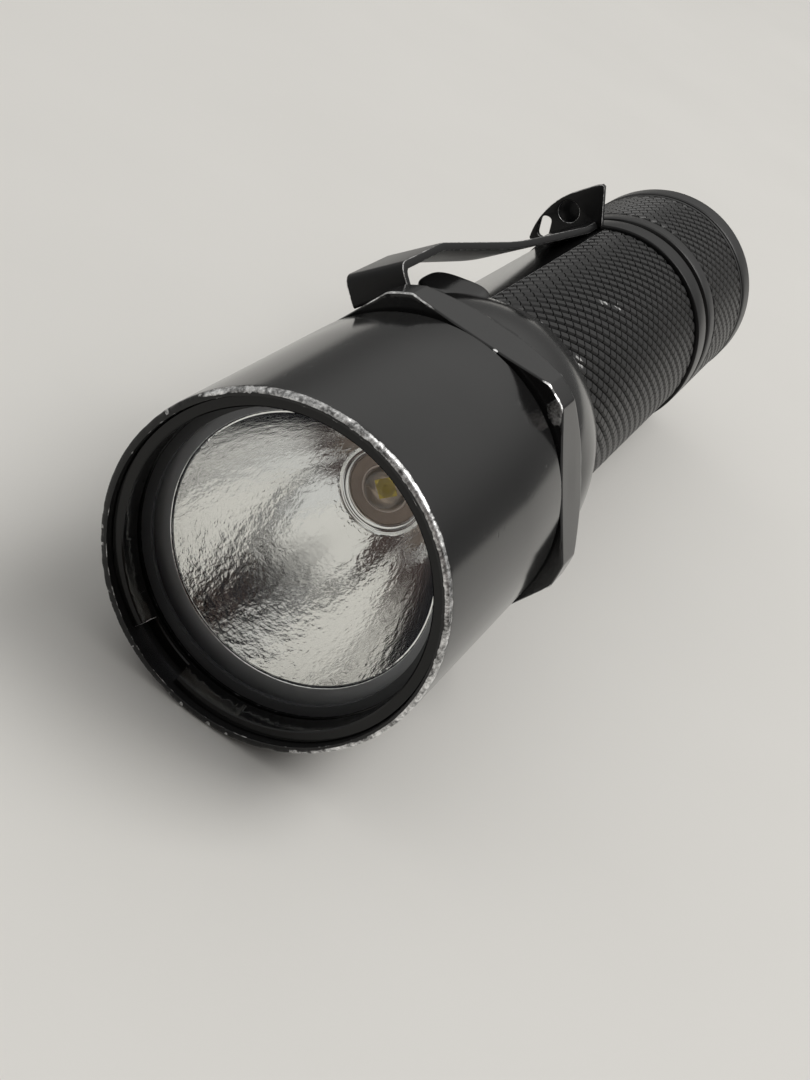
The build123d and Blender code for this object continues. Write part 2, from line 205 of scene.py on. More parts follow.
def rounded(points, steps=5):
    """Outline with its corners rounded: points are (x, y, corner radius)."""
    outline = []
    count = len(points)
    for i, (x, y, radius) in enumerate(points):
        here = Vector((x, y))
        before = Vector(points[i - 1][:2]) - here
        after = Vector(points[(i + 1) % count][:2]) - here
        if radius <= 0:
            outline.append((x, y))
            continue
        half = before.angle(after) / 2
        back = min(radius / math.tan(half), 0.49 * before.length, 0.49 * after.length)
        start, end = here + before.normalized() * back, here + after.normalized() * back
        for k in range(steps + 1):
            t = k / steps
            point = start * (1 - t) ** 2 + here * 2 * t * (1 - t) + end * t ** 2
            outline.append((point.x, point.y))
    return outline


def circle(x, y, radius, steps=40):
    """Outline of a circle."""
    turns = [2 * math.pi * i / steps for i in range(steps)]
    return [(x + radius * math.cos(t), y + radius * math.sin(t)) for t in turns]


def plate(name, outlines, thickness, bevel, matrix):
    """Flat plate with rounded edges and holes, from closed outlines in its own plane."""
    curve = bpy.data.curves.new(name, "CURVE")
    curve.dimensions = "2D"
    curve.fill_mode = "BOTH"
    curve.extrude = thickness / 2 - bevel
    curve.bevel_depth = bevel
    curve.bevel_resolution = 3
    curve.offset = -bevel
    for outline in outlines:
        spline = curve.splines.new("POLY")
        spline.points.add(len(outline) - 1)
        for point, (x, y) in zip(spline.points, outline):
            point.co = (x, y, 0, 1)
        spline.use_cyclic_u = True
    holder = bpy.data.objects.new(name + "_outline", curve)
    bpy.context.scene.collection.objects.link(holder)
    bpy.context.view_layer.update()
    shape = holder.evaluated_get(bpy.context.evaluated_depsgraph_get())
    mesh = bpy.data.meshes.new_from_object(shape)
    mesh.name = name
    bpy.data.objects.remove(holder)
    bm = bmesh.new()
    bm.from_mesh(mesh)
    bmesh.ops.remove_doubles(bm, verts=bm.verts, dist=0.002)
    bmesh.ops.recalc_face_normals(bm, faces=bm.faces)
    worn = {}
    for face in bm.faces:
        slanted = 1.0 if 0.15 < abs(face.normal.z) < 0.97 else 0.0
        for vert in face.verts:
            worn[vert.index] = min(worn.get(vert.index, 1.0), slanted)
    bm.to_mesh(mesh)
    bm.free()
    layer = mesh.attributes.new("wear_and_shade", "FLOAT", "POINT")
    layer.data.foreach_set("value", [worn.get(i, 0.0) for i in range(len(mesh.vertices))])
    mesh.transform(matrix)
    return finish_object(name, mesh, 30.0)


def join(name, *objects):
    """One object out of the meshes of several, which it takes the place of."""
    bm = bmesh.new()
    for obj in objects:
        bm.from_mesh(obj.data)
    mesh = bpy.data.meshes.new(name)
    bm.to_mesh(mesh)
    bm.free()
    if "wear_and_shade" not in mesh.attributes:
        mesh.attributes.new("wear_and_shade", "FLOAT", "POINT")
    for obj in objects:
        bpy.data.objects.remove(obj)
    return finish_object(name, mesh, 32.0)


# ---- materials ----------------------------------------------------------------------------

class Shader:
    """Short forms for the nodes of one material."""

    def __init__(self, name):
        self.material = bpy.data.materials.new(name)
        self.material.use_nodes = True
        self.tree = self.material.node_tree
        self.tree.nodes.clear()
        self.out = self.tree.nodes.new("ShaderNodeOutputMaterial")
        self.place = self.node("ShaderNodeTexCoord").outputs["Object"]

    def node(self, kind, **settings):
        made = self.tree.nodes.new(kind)
        for key, value in settings.items():
            setattr(made, key, value)
        return made

    def feed(self, socket, value):
        if isinstance(value, bpy.types.NodeSocket):
            self.tree.links.new(value, socket)
        elif isinstance(value, tuple) and len(value) == 3 and socket.type == "RGBA":
            socket.default_value = (*value, 1.0)
        else:
            socket.default_value = value

    def math(self, operation, *values):
        made = self.node("ShaderNodeMath", operation=operation)
        for socket, value in zip(made.inputs, values):
            self.feed(socket, value)
        return made.outputs[0]

    def stretch(self, scale):
        made = self.node("ShaderNodeVectorMath", operation="MULTIPLY")
        self.feed(made.inputs[0], self.place)
        made.inputs[1].default_value = scale
        return made.outputs[0]

    def noise(self, size, detail=3.0, roughness=0.55, stretch=None, distortion=0.0):
        """Noise whose features are about a size in millimetres."""
        made = self.node("ShaderNodeTexNoise")
        self.feed(made.inputs["Vector"], self.stretch(stretch) if stretch else self.place)
        made.inputs["Scale"].default_value = 1.0 / (size * MM)
        made.inputs["Detail"].default_value = detail
        made.inputs["Roughness"].default_value = roughness
        made.inputs["Distortion"].default_value = distortion
        return made.outputs["Fac"]

    def step(self, value, low, high):
        """0 where the value is at low, 1 where it is at high, and an S-curve between them."""
        made = self.node("ShaderNodeMapRange", interpolation_type="SMOOTHSTEP")
        for socket, x in zip(made.inputs, (value, low, high)):
            self.feed(socket, x)
        return made.outputs[0]

    def mix(self, factor, a, b):
        made = self.node("ShaderNodeMix", data_type="RGBA")
        self.feed(made.inputs[0], factor)
        self.feed(made.inputs[6], a)
        self.feed(made.inputs[7], b)
        return made.outputs[2]

    def blend(self, factor, a, b):
        made = self.node("ShaderNodeMix", data_type="FLOAT")
        self.feed(made.inputs[0], factor)
        self.feed(made.inputs[2], a)
        self.feed(made.inputs[3], b)
        return made.outputs[0]

    def bump(self, height, strength, distance):
        """Normal of a height that stands up by a distance in millimetres."""
        made = self.node("ShaderNodeBump")
        made.inputs["Strength"].default_value = strength
        made.inputs["Distance"].default_value = distance * MM
        self.feed(made.inputs["Height"], height)
        return made.outputs[0]

    def attribute(self, name):
        return self.node("ShaderNodeAttribute", attribute_name=name).outputs["Fac"]

    def principled(self, **values):
        made = self.node("ShaderNodeBsdfPrincipled")
        for key, value in values.items():
            self.feed(made.inputs[key.replace("_", " ")], value)
        self.tree.links.new(made.outputs[0], self.out.inputs["Surface"])
        return made

    def radius(self):
        """Distance from the light's axis, in millimetres, and the station."""
        parts = self.node("ShaderNodeSeparateXYZ")
        self.feed(parts.inputs[0], self.place)
        x = self.math("DIVIDE", parts.outputs[0], MM)
        y = self.math("DIVIDE", parts.outputs[1], MM)
        z = self.math("DIVIDE", parts.outputs[2], MM)
        z = self.math("SUBTRACT", z, AXIS_Z)
        square = self.math("ADD", self.math("MULTIPLY", x, x), self.math("MULTIPLY", z, z))
        return self.math("SQRT", square), self.math("SUBTRACT", y, FRONT_Y)


def anodised(name, colour, roughness, scratches=0.3, pits=0.3, worn=0.5, gloss=0.5):
    """Hard-anodised aluminium: black skin, handling marks, and bare metal where worn.

    The wear_and_shade attribute runs from 0, whole skin, to 1, bare metal. Below 0 it is
    painted shade: the skin darkens towards black and loses its gloss.
    """
    s = Shader(name)
    cloud = s.noise(9.0, 4.0)
    fine = s.noise(0.35, 2.0)
    skin = s.mix(cloud, tuple(c * 0.75 for c in colour), tuple(c * 1.25 for c in colour))
    scuff = s.noise(0.5, 3.0, stretch=(1.0, 0.12, 1.0), distortion=0.6)
    scuff = s.math("MULTIPLY", s.step(scuff, 0.66, 0.78), s.step(s.noise(14.0), 0.45, 0.6))
    skin = s.mix(s.math("MULTIPLY", scuff, scratches), skin, (0.13, 0.13, 0.132))
    fleck = s.math("MULTIPLY", s.step(s.noise(0.45, 1.0), 0.79, 0.84), s.step(s.noise(7.0), 0.5, 0.62))
    skin = s.mix(s.math("MULTIPLY", fleck, scratches), skin, (0.45, 0.45, 0.45))
    # wear_and_shade: above 0 worn bare metal; below 0 painted shade that darkens the skin and drops its
    # gloss.
    edge = s.attribute("wear_and_shade")
    painted_shade = s.step(edge, -0.10, -0.70)
    skin = s.mix(painted_shade, skin, (0.002, 0.002, 0.002))
    ragged = s.math("ADD", s.noise(0.55, 5.0, 0.7), s.math("MULTIPLY", s.noise(2.6), 0.8))
    level = s.math("ADD", s.math("MULTIPLY", edge, 1.0 + worn), s.math("SUBTRACT", ragged, 1.45))
    bare = s.math("MULTIPLY", s.step(level, 0.28, 0.5), s.step(edge, 0.05, 0.25))
    coarse_grit = s.step(s.noise(1.1, 3.0, 0.6), 0.38, 0.62)
    fine_grit = s.step(s.noise(0.30, 3.0, 0.6), 0.38, 0.66)
    grit = s.blend(0.45, coarse_grit, fine_grit)
    metal = s.mix(grit, (0.13, 0.13, 0.13), (1.0, 1.0, 1.0))
    rough = s.blend(fine, roughness - 0.02, roughness + 0.03)
    rough = s.blend(s.math("MULTIPLY", cloud, 0.4), rough, roughness + 0.05)
    pit = s.step(s.noise(0.8, 2.0, 0.4), 0.70, 0.80)
    height = s.math("SUBTRACT", s.math("MULTIPLY", fine, 0.03), s.math("MULTIPLY", pit, 0.5 * pits))
    height = s.math("ADD", height, s.math("MULTIPLY", bare, s.noise(0.5, 3.0, 0.6)))
    s.principled(
        Base_Color=s.mix(bare, skin, metal),
        Metallic=bare,
        Roughness=s.blend(bare, rough, 0.38),
        Specular_IOR_Level=s.blend(painted_shade, gloss, 0.02),
        Normal=s.bump(height, 0.35, 0.12),
    )
    return s.material


def plain(name, colour, roughness, metallic=0.0, size=0.6, shade=0.25, relief=0.03, spread=0.08):
    """A material with mottled colour, uneven roughness and a fine relief."""
    s = Shader(name)
    cloud = s.noise(size * 8, 3.0)
    fine = s.noise(size, 4.0)
    dark = tuple(c * (1 - shade) for c in colour)
    light = tuple(min(c * (1 + shade), 1.0) for c in colour)
    s.principled(
        Base_Color=s.mix(s.blend(0.5, cloud, fine), dark, light),
        Metallic=metallic,
        Roughness=s.blend(cloud, max(roughness - spread, 0.02), min(roughness + spread, 1.0)),
        Normal=s.bump(fine, 0.5, relief),
    )
    return s.material


def machined(name, colour, roughness):
    """Turned metal with fine concentric tool marks."""
    s = Shader(name)
    radius, station = s.radius()
    rings = s.math("SINE", s.math("MULTIPLY", s.math("ADD", radius, station), 42.0))
    cloud = s.noise(3.0)
    s.principled(
        Base_Color=s.mix(cloud, tuple(c * 0.8 for c in colour), colour),
        Metallic=1.0,
        Roughness=s.blend(cloud, roughness - 0.08, roughness + 0.08),
        Normal=s.bump(rings, 0.25, 0.02),
    )
    return s.material


FLANGE_INNER = 13.66    # where the reflector's flat flange meets its bowl
REFLECTOR_SEAT = 7.6    # station of the shoulder in the head that the flange rests on
LIP_RADIUS = 4.8        # of the reflector's rear opening


def mirror_material():
    """Vacuum-metallised bowl with an orange-peel relief, and a duller flat front flange."""
    s = Shader("reflector_mirror")
    radius, station = s.radius()
    outside_bowl = s.step(radius, FLANGE_INNER - 0.04, FLANGE_INNER)
    flange = s.math("MULTIPLY", outside_bowl, s.step(station, REFLECTOR_SEAT, REFLECTOR_SEAT - 0.2))
    lip = s.step(radius, LIP_RADIUS + 0.15, LIP_RADIUS + 0.05)
    peel = s.noise(0.95, 2.0, 0.5, stretch=(1.0, 0.55, 1.0))
    fine = s.noise(0.36, 2.0, 0.5)
    smooth_part = s.math("MAXIMUM", flange, lip)
    height = s.math("ADD", peel, s.math("MULTIPLY", fine, 0.45))
    height = s.blend(smooth_part, height, 0.5)
    haze = s.noise(5.0, 3.0)
    colour = s.mix(haze, (0.955, 0.95, 0.94), (0.995, 0.99, 0.985))
    s.principled(
        Base_Color=s.mix(flange, colour, (0.24, 0.24, 0.243)),
        Metallic=s.blend(flange, 1.0, 0.0),
        Roughness=s.blend(flange, s.blend(haze, 0.010, 0.025), 0.5),
        Normal=s.bump(height, 0.9, 0.065),
    )
    return s.material


def clear_material(name, tint, gloss_colour, ior, haze):
    """Clear body seen through: a tint, and a reflection that follows Fresnel."""
    s = Shader(name)
    clear = s.node("ShaderNodeBsdfTransparent")
    clear.inputs[0].default_value = (*tint, 1.0)
    gloss = s.node("ShaderNodeBsdfGlossy")
    gloss.inputs["Color"].default_value = (*gloss_colour, 1.0)
    s.feed(gloss.inputs["Roughness"], s.blend(s.noise(6.0), 0.0, haze))
    fresnel = s.node("ShaderNodeFresnel")
    fresnel.inputs["IOR"].default_value = ior
    both = s.node("ShaderNodeMixShader")
    s.feed(both.inputs[0], fresnel.outputs[0])
    s.tree.links.new(clear.outputs[0], both.inputs[1])
    s.tree.links.new(gloss.outputs[0], both.inputs[2])
    s.tree.links.new(both.outputs[0], s.out.inputs["Surface"])
    return s.material


def floor_material():
    """Off-white laminate with a faint mottle."""
    s = Shader("floor_white")
    cloud = s.noise(60.0, 4.0)
    fine = s.noise(0.9, 3.0)
    s.principled(
        Base_Color=s.mix(cloud, (0.70, 0.69, 0.665), (0.745, 0.735, 0.71)),
        Roughness=s.blend(cloud, 0.5, 0.62),
        Normal=s.bump(fine, 0.25, 0.05),
    )
    return s.material


BLACK = (0.0105, 0.0105, 0.0107)
KNURL_BLACK = (0.014, 0.014, 0.0145)
MATERIALS = {
    "head_black": anodised("head_black", BLACK, 0.12, scratches=0.12, gloss=0.39),
    # The ring's black is darker and less glossy than the head's: painted shade for its place deep in the
    # bore.
    "ring_black": anodised("ring_black", (0.003, 0.003, 0.003), 0.13, scratches=0.02, pits=0.1, gloss=0.35),
    "gasket_black": plain("gasket_black", (0.030, 0.031, 0.033), 0.55, size=0.3),
    "window_glass": clear_material("window_glass", (0.985, 0.99, 0.985), (0.85, 0.88, 1.0), 1.25, 0.03),
    "reflector_mirror": mirror_material(),
    "insulator_white": plain("insulator_white", (0.36, 0.27, 0.21), 0.35, size=0.2),
    "emitter_ceramic": plain("emitter_ceramic", (0.92, 0.78, 0.71), 0.4, size=0.2, shade=0.12),
    "emitter_phosphor": plain("emitter_phosphor", (0.80, 0.62, 0.05), 0.5, size=0.1, shade=0.15),
    "emitter_silicone": clear_material("emitter_silicone", (0.99, 0.97, 0.93), (1, 1, 1), 1.41, 0.04),
    "board_core": plain("board_core", (0.7, 0.7, 0.68), 0.4),
    "lead_copper": plain("lead_copper", (0.55, 0.08, 0.05), 0.4),
    "sink_aluminium": machined("sink_aluminium", (0.78, 0.78, 0.79), 0.3),
    "board_green": plain("board_green", (0.02, 0.12, 0.05), 0.35),
    "inductor_ferrite": plain("inductor_ferrite", (0.06, 0.06, 0.06), 0.7, size=0.2),
    "spring_gold": machined("spring_gold", (0.85, 0.62, 0.26), 0.25),
    "tube_black": anodised("tube_black", KNURL_BLACK, 0.36, scratches=0.2, pits=0.1, worn=0.45, gloss=0.26),
    "seal_rubber": plain("seal_rubber", (0.015, 0.015, 0.015), 0.35),
    "cell_wrap": plain("cell_wrap", (0.05, 0.05, 0.055), 0.25, size=2.0),
    "cell_nickel": machined("cell_nickel", (0.72, 0.70, 0.66), 0.3),
    "clip_black": anodised(
        "clip_black", (0.009, 0.009, 0.0095), 0.28, scratches=0.1, pits=0.15, worn=0.1, gloss=0.22
    ),
    "cap_black": anodised("cap_black", KNURL_BLACK, 0.36, scratches=0.2, pits=0.1, worn=0.35, gloss=0.35),
    "ring_brass": machined("ring_brass", (0.72, 0.52, 0.22), 0.3),
    "switch_polymer": plain("switch_polymer", (0.03, 0.03, 0.032), 0.5),
    "washer_polymer": plain("washer_polymer", (0.6, 0.6, 0.56), 0.5),
    "boot_rubber": plain("boot_rubber", (0.016, 0.016, 0.017), 0.62, size=0.25, relief=0.05),
}

SLOT_OF = {part["node"]: part["material_slot"] for part in frame["record"]["subparts"]}
for node_name, node_object in frame["nodes"].items():
    node_object.data.materials.clear()
    node_object.data.materials.append(MATERIALS[SLOT_OF[node_name]])


def place(obj, body, slot, *nodes):
    """Gives a new piece its material, its body and the CAD nodes that it stands for."""
    obj.data.materials.clear()
    obj.data.materials.append(MATERIALS[slot])
    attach(obj, body)
    if nodes:
        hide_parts(*nodes)
    return obj


# ---- head ---------------------------------------------------------------------------------

HEAD_RADIUS = 17.4
BORE = 16.6
CHAMFER = 0.35
GROOVE_RADIUS = 16.9
BARREL_REAR = 31.35
FLANGE_FRONT = 31.9
FLANGE_BULGE = 0.35     # how far the flange's front edge comes forward in the middle of a flat
FLANGE_REAR = 36.0
CORNER_RADIUS = 19.2
APOTHEM = 17.5          # axis to the flat that the light rests on
UPPER_APOTHEM = 17.28   # axis to the other flats
CONE_REAR = 38.2
NECK_REAR = 53.0
NECK_RADIUS = 14.5
THREAD_RADIUS = 12.05
CAVITY_RADIUS = 15.6
NECK_ARC = arc((38.6, 17.1), (46.0, 16.35), (NECK_REAR - 0.25, NECK_RADIUS + 0.03), 22)


def hexagon(angle):
    """Radius of the flange's outline at an angle, its upper flats cut a little below the barrel."""
    local = (angle + 30.0) % 60.0 - 30.0
    seat = smooth(148.0, 152.0, abs((angle + 180.0) % 360.0 - 180.0))
    flat = lerp(UPPER_APOTHEM, APOTHEM, seat) / math.cos(math.radians(local))
    soft = 0.03
    return -soft * math.log(math.exp(-(flat - 17) / soft) + math.exp(-(CORNER_RADIUS - 17) / soft)) + 17


def near(angle, middle, reach):
    """1 at an angle, falling smoothly to 0 at a reach to both sides."""
    return 1.0 - smooth(0.0, reach, abs((angle - middle + 180.0) % 360.0 - 180.0))


def flange_wear(angle):
    """Wear of the flange's front edge: rubbed at the corners, most at the two upper ones."""
    local = (angle + 30.0) % 60.0 - 30.0
    corners = 0.30 * smooth(20.0, 27.0, abs(local))
    upper = 1.05 * near(angle, -31.0, 21.0) + 0.85 * near(angle, 25.6, 2.4) + 0.6 * near(angle, 32.0, 4.0)
    return 0.22 + corners + upper + 0.8 * near(angle, 6.5, 1.4)


def head_section(angle):
    """The head's closed section at an angle: worn rim, barrel, hexagon flange and neck."""
    turn = math.radians(angle)
    ring = Vector((math.sin(turn), 0.0, math.cos(turn))) * HEAD_RADIUS
    slow = grain(ring, 4.5, 3.1)
    medium = grain(ring, 0.9, 7.3)
    quick = grain(ring, 0.3, 11.9)
    chip = max(0.0, grain(ring, 1.5, 21.0) - 0.28) * 0.55
    used = lerp(0.25, 1.0, smooth(0.25, 0.75, 0.5 + 0.5 * math.cos(turn - 0.85)))
    wide = CHAMFER * (0.75 + 0.55 * used) + 0.10 * slow + 0.07 * medium + 0.6 * chip
    dent = 0.030 * abs(quick) + 0.05 * abs(medium)
    band = 0.55 + 0.35 * slow + 0.25 * medium
    edge_wear = used + 0.25 * slow
    spark = 0.5 * smooth(0.25, 0.45, grain(ring, 0.7, 63.0))
    rim = [
        (REFLECTOR_SEAT, BORE, 0.0), (0.18, BORE, 0.0),
        (0.04, BORE + 0.05, 0.62 - 0.3 * used + 0.5 * medium),
        (0.0, BORE + 0.14, 0.15), (0.01 + 0.3 * dent, BORE + 0.30, 0.30 * edge_wear + spark),
        (0.02 + dent, HEAD_RADIUS - wide - 0.06, 0.75 * edge_wear + spark),
        (0.05 + 1.5 * dent, HEAD_RADIUS - 0.72 * wide - 0.02, 0.95 * edge_wear + spark),
        (0.32 * wide + dent, HEAD_RADIUS - 0.36 * wide - 0.6 * dent, edge_wear + spark),
        (0.70 * wide, HEAD_RADIUS - 0.12 * wide - 0.8 * dent, edge_wear + spark),
        (wide + 0.10, HEAD_RADIUS - 0.5 * dent - 0.008, 0.8 * edge_wear + 0.6 * spark),
        (wide + 0.30, HEAD_RADIUS - 0.25 * dent, (0.30 + 0.3 * band) * used),
        (wide + 0.60, HEAD_RADIUS, 0.12 * band * used),
        (wide + 1.10, HEAD_RADIUS, 0.0), (4.0, HEAD_RADIUS, 0.0),
        (12.0, HEAD_RADIUS, 0.0), (21.0, HEAD_RADIUS, 0.0),
        (BARREL_REAR - 0.40, HEAD_RADIUS, 0.0), (BARREL_REAR - 0.21, HEAD_RADIUS - 0.02, 0.15),
        (BARREL_REAR - 0.10, HEAD_RADIUS - 0.10, 0.1), (BARREL_REAR, GROOVE_RADIUS, 0.0),
    ]
    edge = hexagon(angle)
    local = (angle + 30.0) % 60.0 - 30.0
    corner = smooth(17.0, 25.0, abs(local))
    scrape = flange_wear(angle) + 0.22 * grain(ring, 5.0, 33.0) + 0.25 * grain(ring, 0.8, 35.0)
    front = FLANGE_FRONT - FLANGE_BULGE * (CORNER_RADIUS - edge) / (CORNER_RADIUS - UPPER_APOTHEM)
    rear = lerp(CONE_REAR, FLANGE_REAR, max(edge - APOTHEM, 0.0) / (CORNER_RADIUS - APOTHEM))
    ding = 0.05 * max(0.0, grain(ring, 0.8, 41.0)) * corner
    rubbed = 1.25 * near(angle, 34.5, 7.5)
    # Painted shade: the flat facing right, around 60 degrees, is made a little darker and less glossy.
    flat_painted_shade = -0.27 * near(angle, 60.0, 27.0)
    flange = [
        (front + 0.12, GROOVE_RADIUS, 0.0), (front + 0.10, lerp(GROOVE_RADIUS, edge, 0.25), 0.5 * rubbed),
        (front + 0.08, lerp(GROOVE_RADIUS, edge, 0.45), rubbed),
        (front + 0.06, lerp(GROOVE_RADIUS, edge, 0.75), rubbed),
        (front + 0.04, edge - 0.16, 0.25 * scrape + 0.7 * rubbed),
        (front + 0.05 + ding, edge - 0.12 - ding, scrape),
        (front + 0.19 + ding, edge - 0.03 - ding, scrape),
        (front + 0.32, edge, 0.55 * scrape), (front + 0.5, edge, 0.0),
        (lerp(front, rear, 0.35), edge, flat_painted_shade), (lerp(front, rear, 0.65), edge, flat_painted_shade),
        (rear - 0.32, edge, 0.0), (rear - 0.14, edge - 0.004, 0.30 * scrape),
        (rear - 0.03, edge - 0.03, 0.50 * scrape), (rear + 0.10, edge - 0.11, 0.25 * scrape),
    ]
    # Painted shade: the neck's right side, around 65 degrees, is made darker and less glossy so that it
    # shows little of the floor's reflection.
    neck_painted_shade = -0.55 * near(angle, 65.0, 35.0)
    cone = [(lerp(rear + 0.25, CONE_REAR + 0.25, t), lerp(edge - 0.22, min(edge, APOTHEM) - 0.16, t), neck_painted_shade)
            for t in (0.0, 0.33, 0.67, 1.0)]
    neck = [(s, r, neck_painted_shade) for s, r in NECK_ARC]
    lip_wear = 0.30 + 0.45 * grain(ring, 2.6, 55.0)
    inside = [
        (NECK_REAR - 0.08, NECK_RADIUS - 0.04, lip_wear), (NECK_REAR, NECK_RADIUS - 0.16, lip_wear),
        (NECK_REAR, THREAD_RADIUS + 0.15, 0.0), (NECK_REAR - 0.3, THREAD_RADIUS, 0.0),
        (39.0, THREAD_RADIUS, 0.0), (39.0, 14.0, 0.0), (33.0, 14.0, 0.0),
        (33.0, CAVITY_RADIUS, 0.0), (REFLECTOR_SEAT, CAVITY_RADIUS, 0.0),
    ]
    return rim + flange + cone + neck + inside


head = turned("head_shell", head_section, steps=1440, sharp=40.0)
place(head, "light", "head_black", "head_body")


def lug(name, angle, station, length, width, base, top, tilt):
    """Low rounded lug: a slanting flat-topped pad with a soft shoulder, standing on the neck."""
    frame_matrix = side_frame(angle)
    steps = 96
    power = 3.2         # of the outline's superellipse
    soft = 0.75         # height of the shoulder
    shoulder = [(1.0, base, 0.0), (1.0, top - soft, 0.0)]
    for k in range(1, 9):
        turn = math.radians(90 * k / 8)
        inwards, upwards = 0.19 * (1 - math.cos(turn)), soft * (1 - math.sin(turn))
        shoulder.append((1.0 - inwards, top - upwards, 0.3 * (k in (3, 4))))
    shoulder += [(0.60, top, 0.0), (0.35, top, 0.0)]
    rows = []
    for i in range(steps):
        turn = 2 * math.pi * i / steps
        reach = (abs(math.cos(turn)) ** power + abs(math.sin(turn)) ** power) ** (-1 / power)
        column = []
        for spread, height, worn in shoulder:
            x = station + 0.5 * length * reach * math.cos(turn) * spread
            z = 0.5 * width * reach * math.sin(turn) * spread
            slant = -tilt * z * (height > base)
            column.append((frame_matrix @ Vector((x, height + slant, z)), worn))
        rows.append(column)
    verts, faces, wear_and_shade = loft(rows, closed_rows=False)
    depth = len(shoulder)
    faces.append(tuple(i * depth for i in range(steps)))
    faces.append(tuple(i * depth + depth - 1 for i in range(steps)))
    return make_object(name, verts, faces, wear_and_shade, sharp=50.0)


neck_lug = lug(
    "neck_lug", angle=-31.0, station=47.95, length=8.1, width=7.0, base=13.6, top=16.75, tilt=0.33
)
place(neck_lug, "light", "head_black")

NOTCH_ANGLE = -156.5
NOTCH_HALF = 10.6       # degrees
NOTCH_DEPTH = 2.1978
RING_FRONT = 0.9
RING_REAR = 4.5
RING_OUTER = 16.55
RING_INNER = 15.43


def ring_section(angle):
    """The retaining ring's closed section, lower at the spanner notch that the picture shows."""
    past = (angle - NOTCH_ANGLE + 180.0) % 360.0 - 180.0
    front = RING_FRONT + NOTCH_DEPTH * smooth(NOTCH_HALF + 0.5, NOTCH_HALF - 0.5, abs(past))
    tick = 0.035 * grain((angle, 0.0, 0.0), 1.2, 4.0) + 0.03 * grain((angle, 0.0, 0.0), 4.0, 9.0)
    worn = 0.95 * near(past, NOTCH_HALF, 1.2) * (1.0 if past > 0 else 0.3)
    return [
        (front + 0.10, RING_OUTER, 0.0), (front, RING_OUTER - 0.10, worn),
        (front, RING_INNER + 0.13, worn), (front + 0.12, RING_INNER, worn),
        (3.5, RING_INNER, 0.0), (3.62, RING_INNER + 0.05 - tick, 0.1),
        (3.68, RING_INNER + 0.32, 0.0), (4.06, RING_INNER + 0.32, 0.0),
        (4.12, RING_INNER + 0.07 + tick, 0.1), (4.20, RING_INNER + 0.04, 0.0),
        (RING_REAR - 0.12, RING_INNER + 0.04 + tick, 0.0), (RING_REAR, RING_INNER + 0.13, 0.0),
        (RING_REAR, RING_OUTER, 0.0),
    ]


retaining_ring = turned("retaining_ring", ring_section, steps=1440, sharp=30.0)
place(retaining_ring, "light", "ring_black", "lens_retaining_ring")

FOCAL_LENGTH = 2.0
VERTEX = 29.1
REFLECTOR_REAR = 27.2
LIP_STATION = VERTEX - LIP_RADIUS ** 2 / (4 * FOCAL_LENGTH)
LENS_REAR = 6.6


def reflector_section(angle):
    """The reflector's closed section: a rippled bowl, a rolled lip, and its outside."""
    turn = math.radians(angle)
    rows = []
    steps = 130
    for i in range(steps + 1):
        t = i / steps
        radius = lerp(13.36, LIP_RADIUS + 0.02, t)
        station = VERTEX - radius ** 2 / (4 * FOCAL_LENGTH)
        point = Vector((radius * math.sin(turn), 0.55 * station, radius * math.cos(turn)))
        calm = smooth(0.0, 0.02, t) * smooth(1.0, 0.96, t)
        peel = 0.0085 * grain(point, 0.80, 5.0) + 0.0050 * grain(point, 0.42, 9.0)
        rows.append((station, radius + peel * calm, 0.0))
    lip = [
        (LIP_STATION - 0.10, LIP_RADIUS - 0.05, 0.0), (LIP_STATION - 0.13, LIP_RADIUS - 0.18, 0.0),
        (LIP_STATION - 0.10, LIP_RADIUS - 0.32, 0.0), (LIP_STATION + 0.05, LIP_RADIUS - 0.42, 0.0),
        (LIP_STATION + 0.16, LIP_RADIUS - 0.52, 0.0), (LIP_STATION + 0.16, LIP_RADIUS - 0.72, 0.0),
        (LIP_STATION + 0.22, 3.98, 0.0), (LIP_STATION + 0.34, 3.9, 0.0), (REFLECTOR_REAR, 3.9, 0.0),
        (REFLECTOR_REAR, 7.2, 0.0), (REFLECTOR_REAR - 1.0, 7.2, 0.0), (8.5, 14.9, 0.0),
        (REFLECTOR_SEAT, 14.9, 0.0), (REFLECTOR_SEAT, RING_OUTER, 0.0),
        (LENS_REAR + 0.02, RING_OUTER, 0.0), (LENS_REAR + 0.02, FLANGE_INNER, 0.0),
        (LENS_REAR + 0.04, 13.60, 0.0), (LENS_REAR + 0.10, 13.53, 0.0), (LENS_REAR + 0.20, 13.48, 0.0),
    ]
    return rows + lip


reflector = turned("reflector_bowl", reflector_section, steps=540, sharp=45.0)
place(reflector, "light", "reflector_mirror", "reflector")

PACKAGE_FRONT = 27.0
DIE_SEEN = 1.02     # half the die's width as its dome magnifies it
DIE_CORNER = DIE_SEEN * math.sqrt(2)
die_outline = rounded([
    (x * DIE_CORNER, y * DIE_CORNER, 0.12) for x, y in ((-1, 0), (0, -1), (1, 0), (0, 1))
])
die_frame = front_frame(PACKAGE_FRONT, 0.0)
die_front = [die_frame @ Vector((x, y, 0.15)) for x, y in die_outline]
die_back = [die_frame @ Vector((x, y, 0.0)) for x, y in die_outline]
count = len(die_outline)
die_faces = [tuple(range(count)), tuple(range(count, 2 * count))]
die_faces += [(i, (i + 1) % count, count + (i + 1) % count, count + i) for i in range(count)]
die = make_object("emitter_die", die_front + die_back, die_faces, sharp=20.0)
place(die, "light", "emitter_phosphor", "led_die")
surround = turned("emitter_surround", section(
    (26.98, 2.60), (26.74, 2.60), (26.80, 2.80), (26.72, 3.2), (26.72, 3.86), (26.98, 3.86),
), steps=180)
place(surround, "light", "insulator_white")
dome_seat = turned("emitter_dome_seat", section(
    (26.90, 2.36), (26.66, 2.38), (26.58, 2.47), (26.66, 2.56), (26.90, 2.58),
), steps=180)
place(dome_seat, "light", "emitter_ceramic")


# ---- battery tube and tail cap --------------------------------------------------------------

